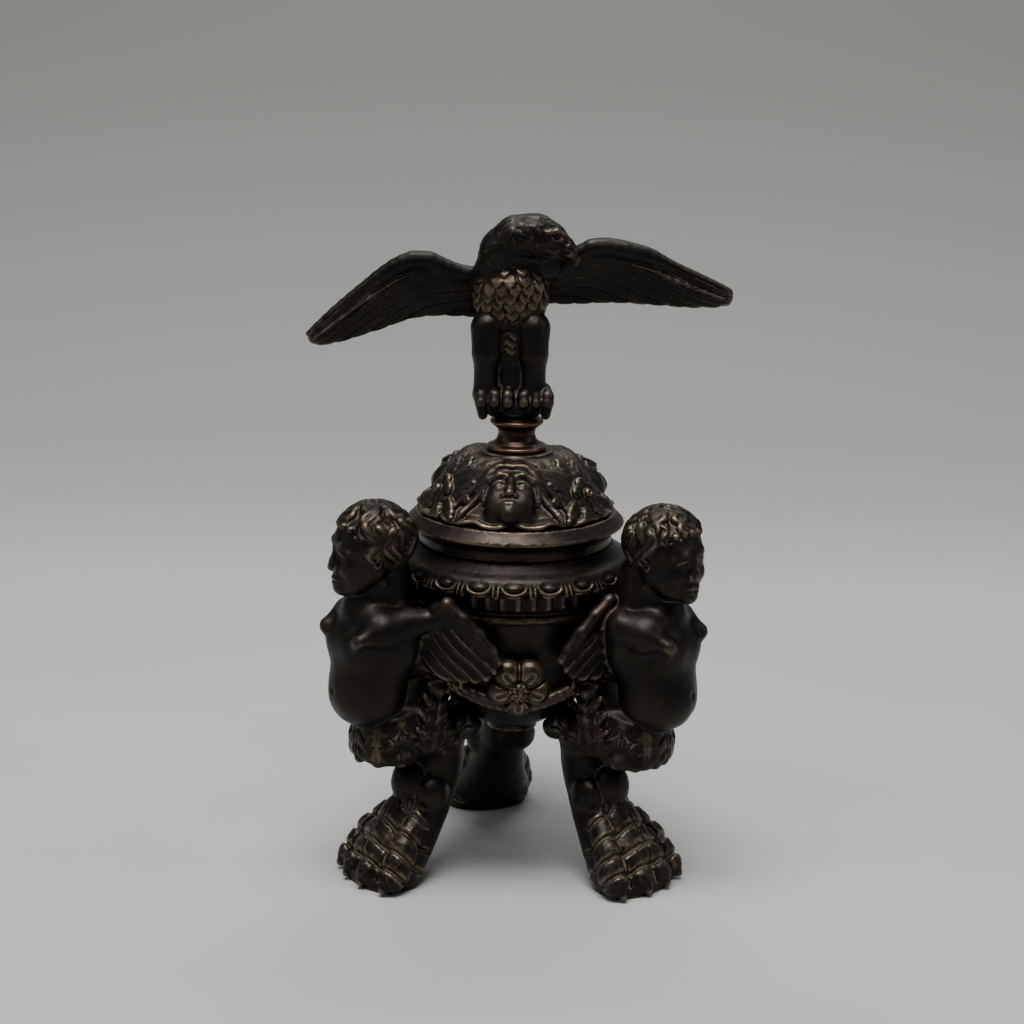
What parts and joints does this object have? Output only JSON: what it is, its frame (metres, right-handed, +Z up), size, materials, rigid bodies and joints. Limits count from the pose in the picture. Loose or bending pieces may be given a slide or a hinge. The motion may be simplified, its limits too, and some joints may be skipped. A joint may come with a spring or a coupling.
{
  "type": "inkwell",
  "caption": "Covered bronze inkwell: round bowl carried by winged half-figures on lion paws, with a domed mask lid and a spread-winged eagle as finial.",
  "frame": {"origin": "on the bowl's axis, at the level of the floor the paws stand on", "axes": "+Z up along the bowl's axis; -Y towards the front rosette, between the two front figures; +X to the right of it"},
  "size_m": [0.0998, 0.0835, 0.156],
  "materials": {
    "bronze_bowl": "dark brown patinated bronze, satin, turned, with warm wear on the edges",
    "bronze_figures": "dark brown patinated cast bronze, satin, greyer at the paws, dust in the grooves",
    "bronze_ornament": "dark brown patinated cast bronze, satin",
    "bronze_lid": "dark brown patinated bronze, satin, copper-coloured wear on the ridges",
    "bronze_eagle": "near-black patinated cast bronze, satin, warm wear on beak and wing edges",
    "brass_fittings": "plain machined brass, slightly dulled",
    "clear_glass": "clear pressed glass with a faint green tint"
  },
  "bodies": {
    "stand": {"bowl": "bronze_bowl", "rim_ring": "bronze_bowl", "figure_rear": "bronze_figures", "figure_left": "bronze_figures", "figure_right": "bronze_figures", "figure_pegs": "brass_fittings", "figure_screws": "brass_fittings", "swag_front": "bronze_ornament", "swag_right": "bronze_ornament", "swag_left": "bronze_ornament", "rosette_front": "bronze_ornament", "rosette_right": "bronze_ornament", "rosette_left": "bronze_ornament", "rosette_rivets": "bronze_ornament"},
    "ink_glass": {"ink_glass": "clear_glass"},
    "lid_plate": {"lid_plate": "bronze_lid"},
    "lid_top": {"lid_dome": "bronze_lid", "finial_spool": "bronze_lid", "eagle_body": "bronze_eagle", "eagle_wing_left": "bronze_eagle", "eagle_wing_right": "bronze_eagle", "tie_rod": "brass_fittings", "washer": "brass_fittings", "nut": "brass_fittings"}
  },
  "joints": [
    {"name": "lid_lift", "type": "slide", "parent": "stand", "child": "lid_plate", "axis": [0, 0, 1], "range_m": [0, 0.1]},
    {"name": "lid_turn", "type": "hinge", "parent": "lid_plate", "child": "lid_top", "pos_m": [0, 0, 0.086], "axis": [0, 0, 1], "continuous": true},
    {"name": "ink_glass_lift", "type": "slide", "parent": "stand", "child": "ink_glass", "axis": [0, 0, 1], "range_m": [0, 0.04]}
  ],
  "couplings": [
    {"joint": "ink_glass_lift", "follows": "lid_lift", "ratio": 0.4}
  ]
}
